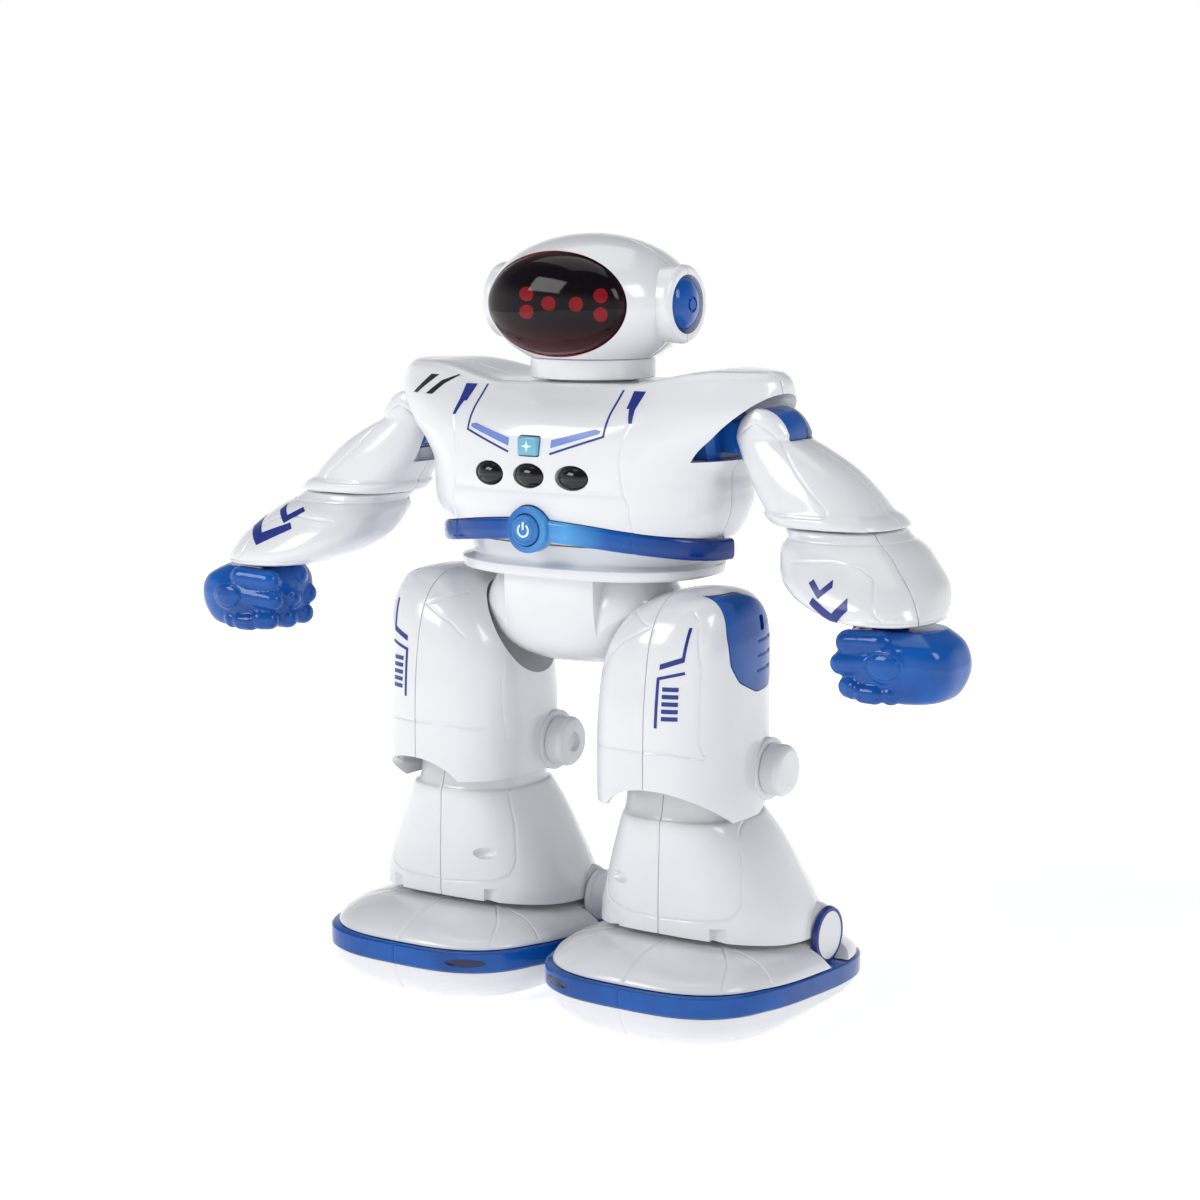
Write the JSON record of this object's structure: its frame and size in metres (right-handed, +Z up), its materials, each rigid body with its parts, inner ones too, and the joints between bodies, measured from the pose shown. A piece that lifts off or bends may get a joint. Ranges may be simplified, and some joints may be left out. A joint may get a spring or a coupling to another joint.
{
  "type": "toy robot",
  "caption": "Standing humanoid toy robot with a turning oval head, dark visor, posable arms and legs, push buttons and wheels under each foot.",
  "frame": {"origin": "on the floor, in the middle of the footprint", "axes": "+Z up, +X towards the robot's own left, the face looks along -Y; rest pose is the pose in the picture"},
  "size_m": [0.307, 0.11, 0.2607],
  "materials": {
    "white_abs": "glossy white moulded shell",
    "blue_plastic": "glossy see-through blue",
    "smoked_visor": "smoked visor, polished",
    "led_board": "board with red lamps",
    "badge_teal": "glossy teal button",
    "lens_black": "polished black",
    "inner_grey": "dull grey inner piece",
    "steel_pin": "plain steel",
    "tyre_rubber": "dull black"
  },
  "bodies": {
    "torso": {"chest_front_shell": "white_abs", "chest_back_shell": "white_abs", "sensor_lens_left": "lens_black", "sensor_lens_centre": "lens_black", "sensor_lens_right": "lens_black", "belt": "blue_plastic", "main_circuit_board": "inner_grey", "speaker": "lens_black", "battery_pack": "inner_grey", "battery_door": "white_abs", "waist_ring": "white_abs", "pelvis_shell": "white_abs", "hip_axle": "steel_pin"},
    "head": {"head_front_shell": "white_abs", "head_rear_shell": "white_abs", "visor": "smoked_visor", "led_board": "led_board", "ear_cap_left": "blue_plastic", "ear_cap_right": "blue_plastic", "neck_ring": "white_abs"},
    "power_button": {"power_button": "blue_plastic"},
    "badge_button": {"badge_button": "badge_teal"},
    "shoulder_left": {"shoulder_rotor_left": "blue_plastic"},
    "upper_arm_left": {"upper_arm_front_left": "white_abs", "upper_arm_back_left": "white_abs"},
    "forearm_left": {"forearm_front_left": "white_abs", "forearm_back_left": "white_abs"},
    "hand_left": {"hand_left": "blue_plastic"},
    "thigh_left": {"thigh_inner_left": "white_abs", "thigh_outer_left": "white_abs", "thigh_panel_left": "blue_plastic"},
    "shin_left": {"shin_inner_left": "white_abs", "shin_outer_left": "white_abs", "knee_pin_left": "white_abs"},
    "foot_left": {"foot_upper_left": "white_abs", "foot_band_left": "blue_plastic", "foot_sole_left": "white_abs", "gear_motor_left": "inner_grey", "ankle_pin_left": "white_abs"},
    "wheels_front_left": {"wheels_front_left": "tyre_rubber"},
    "wheels_rear_left": {"wheels_rear_left": "tyre_rubber"},
    "shoulder_right": {"shoulder_rotor_right": "blue_plastic"},
    "upper_arm_right": {"upper_arm_front_right": "white_abs", "upper_arm_back_right": "white_abs"},
    "forearm_right": {"forearm_front_right": "white_abs", "forearm_back_right": "white_abs"},
    "hand_right": {"hand_right": "blue_plastic"},
    "thigh_right": {"thigh_inner_right": "white_abs", "thigh_outer_right": "white_abs", "thigh_panel_right": "blue_plastic"},
    "shin_right": {"shin_inner_right": "white_abs", "shin_outer_right": "white_abs", "knee_pin_right": "white_abs"},
    "foot_right": {"foot_upper_right": "white_abs", "foot_band_right": "blue_plastic", "foot_sole_right": "white_abs", "gear_motor_right": "inner_grey", "ankle_pin_right": "white_abs"},
    "wheels_front_right": {"wheels_front_right": "tyre_rubber"},
    "wheels_rear_right": {"wheels_rear_right": "tyre_rubber"}
  },
  "joints": [
    {"name": "head_turn", "type": "hinge", "parent": "torso", "child": "head", "pos_m": [0, 0, 0.2115], "axis": [0, 0, 1], "range_deg": [-60, 60]},
    {"name": "power_press", "type": "slide", "parent": "torso", "child": "power_button", "axis": [0, 1, 0], "range_m": [0, 0.0015], "stiffness_N_per_m": 600, "springref_m": -0.0005},
    {"name": "badge_press", "type": "slide", "parent": "torso", "child": "badge_button", "axis": [0, 1, 0], "range_m": [0, 0.0008], "stiffness_N_per_m": 600, "springref_m": -0.0005},
    {"name": "shoulder_swing_left", "type": "hinge", "parent": "torso", "child": "shoulder_left", "pos_m": [0.0715, -0.0025, 0.195], "axis": [1, 0, 0], "range_deg": [-25, 25]},
    {"name": "arm_lift_left", "type": "hinge", "parent": "shoulder_left", "child": "upper_arm_left", "pos_m": [0.0715, -0.0025, 0.195], "axis": [0, -1, 0], "range_deg": [-12, 40]},
    {"name": "elbow_twist_left", "type": "hinge", "parent": "upper_arm_left", "child": "forearm_left", "pos_m": [0.098, -0.0025, 0.1685], "axis": [0, 0, 1], "range_deg": [-45, 45]},
    {"name": "wrist_turn_left", "type": "hinge", "parent": "forearm_left", "child": "hand_left", "pos_m": [0.1245, -0.0195, 0.142], "axis": [0, 0, 1], "range_deg": [-45, 45]},
    {"name": "hip_swing_left", "type": "hinge", "parent": "torso", "child": "thigh_left", "pos_m": [0.0432, -0.004, 0.131], "axis": [1, 0, 0], "range_deg": [-8, 8]},
    {"name": "knee_bend_left", "type": "hinge", "parent": "thigh_left", "child": "shin_left", "pos_m": [0.0432, 0.004, 0.0835], "axis": [1, 0, 0], "range_deg": [-6, 6]},
    {"name": "ankle_tilt_left", "type": "hinge", "parent": "shin_left", "child": "foot_left", "pos_m": [0.046, 0.017, 0.0255], "axis": [1, 0, 0], "range_deg": [-1.8, 4]},
    {"name": "front_wheels_spin_left", "type": "hinge", "parent": "foot_left", "child": "wheels_front_left", "pos_m": [0.046, -0.0341, 0.007], "axis": [1, 0, 0], "continuous": true},
    {"name": "rear_wheels_drive_left", "type": "hinge", "parent": "foot_left", "child": "wheels_rear_left", "pos_m": [0.046, 0.0341, 0.007], "axis": [1, 0, 0], "continuous": true},
    {"name": "shoulder_swing_right", "type": "hinge", "parent": "torso", "child": "shoulder_right", "pos_m": [-0.0715, -0.0025, 0.195], "axis": [1, 0, 0], "range_deg": [-25, 25]},
    {"name": "arm_lift_right", "type": "hinge", "parent": "shoulder_right", "child": "upper_arm_right", "pos_m": [-0.0715, -0.0025, 0.195], "axis": [0, 1, 0], "range_deg": [-12, 40]},
    {"name": "elbow_twist_right", "type": "hinge", "parent": "upper_arm_right", "child": "forearm_right", "pos_m": [-0.098, -0.0025, 0.1685], "axis": [0, 0, -1], "range_deg": [-45, 45]},
    {"name": "wrist_turn_right", "type": "hinge", "parent": "forearm_right", "child": "hand_right", "pos_m": [-0.1245, -0.0195, 0.142], "axis": [0, 0, -1], "range_deg": [-45, 45]},
    {"name": "hip_swing_right", "type": "hinge", "parent": "torso", "child": "thigh_right", "pos_m": [-0.0432, -0.004, 0.131], "axis": [1, 0, 0], "range_deg": [-8, 8]},
    {"name": "knee_bend_right", "type": "hinge", "parent": "thigh_right", "child": "shin_right", "pos_m": [-0.0432, 0.004, 0.0835], "axis": [1, 0, 0], "range_deg": [-6, 6]},
    {"name": "ankle_tilt_right", "type": "hinge", "parent": "shin_right", "child": "foot_right", "pos_m": [-0.046, 0.017, 0.0255], "axis": [1, 0, 0], "range_deg": [-1.8, 4]},
    {"name": "front_wheels_spin_right", "type": "hinge", "parent": "foot_right", "child": "wheels_front_right", "pos_m": [-0.046, -0.0341, 0.007], "axis": [1, 0, 0], "continuous": true},
    {"name": "rear_wheels_drive_right", "type": "hinge", "parent": "foot_right", "child": "wheels_rear_right", "pos_m": [-0.046, 0.0341, 0.007], "axis": [1, 0, 0], "continuous": true}
  ]
}
